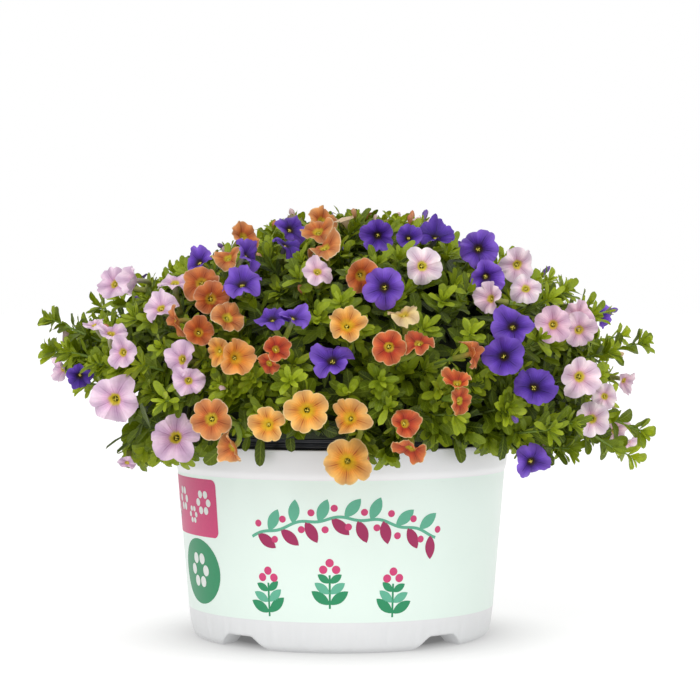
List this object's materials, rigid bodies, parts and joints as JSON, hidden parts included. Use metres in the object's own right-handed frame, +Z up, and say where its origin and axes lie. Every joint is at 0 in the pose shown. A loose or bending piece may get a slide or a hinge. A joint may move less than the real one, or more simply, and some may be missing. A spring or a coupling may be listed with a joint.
{
  "type": "potted calibrachoa",
  "caption": "Mounded calibrachoa in mixed bloom, with trumpet flowers in several colours, in a white moulded pot lined with a black inner pot.",
  "frame": {"origin": "on the pot's axis, on the surface that the pot's foot stands on", "axes": "+Z up; the side that faces the viewer is -Y, and +X is to the viewer's right"},
  "size_m": [0.458, 0.4387, 0.3329],
  "materials": {
    "white_plastic": "satin moulded, with a pale mint printed band",
    "black_plastic": "satin thin-walled",
    "soil": "damp crumbly peat mix",
    "foliage": "soft, slightly sticky leaves",
    "petal_lilac": "soft petal",
    "petal_pink": "soft petal",
    "petal_violet": "velvety petal",
    "petal_orange": "soft petal",
    "petal_apricot": "soft petal",
    "petal_red": "soft petal",
    "petal_cream": "soft petal"
  },
  "bodies": {
    "root": {"bloom_apricot_1": "petal_apricot", "bloom_apricot_2": "petal_apricot", "bloom_apricot_3": "petal_apricot", "bloom_apricot_4": "petal_apricot", "bloom_apricot_5": "petal_apricot", "bloom_cream_1": "petal_cream", "bloom_lilac_1": "petal_lilac", "bloom_lilac_2": "petal_lilac", "bloom_lilac_3": "petal_lilac", "bloom_lilac_4": "petal_lilac", "bloom_lilac_5": "petal_lilac", "bloom_lilac_6": "petal_lilac", "bloom_lilac_7": "petal_lilac", "bloom_lilac_8": "petal_lilac", "bloom_lilac_9": "petal_lilac", "bloom_orange_1": "petal_orange", "bloom_orange_2": "petal_orange", "bloom_orange_3": "petal_orange", "bloom_orange_4": "petal_orange", "bloom_orange_5": "petal_orange", "bloom_orange_6": "petal_orange", "bloom_orange_7": "petal_orange", "bloom_orange_8": "petal_orange", "bloom_orange_9": "petal_orange", "bloom_pink_1": "petal_pink", "bloom_pink_10": "petal_pink", "bloom_pink_2": "petal_pink", "bloom_pink_3": "petal_pink", "bloom_pink_4": "petal_pink", "bloom_pink_5": "petal_pink", "bloom_pink_6": "petal_pink", "bloom_pink_7": "petal_pink", "bloom_pink_8": "petal_pink", "bloom_pink_9": "petal_pink", "bloom_red_1": "petal_red", "bloom_red_2": "petal_red", "bloom_red_3": "petal_red", "bloom_red_4": "petal_red", "bloom_violet_1": "petal_violet", "bloom_violet_10": "petal_violet", "bloom_violet_11": "petal_violet", "bloom_violet_12": "petal_violet", "bloom_violet_13": "petal_violet", "bloom_violet_14": "petal_violet", "bloom_violet_2": "petal_violet", "bloom_violet_3": "petal_violet", "bloom_violet_4": "petal_violet", "bloom_violet_5": "petal_violet", "bloom_violet_6": "petal_violet", "bloom_violet_7": "petal_violet", "bloom_violet_8": "petal_violet", "bloom_violet_9": "petal_violet", "inner_pot": "black_plastic", "plant_1": "foliage", "plant_2": "foliage", "plant_3": "foliage", "plant_4": "foliage", "plant_5": "foliage", "pot": "white_plastic", "soil": "soil"}
  },
  "joints": []
}
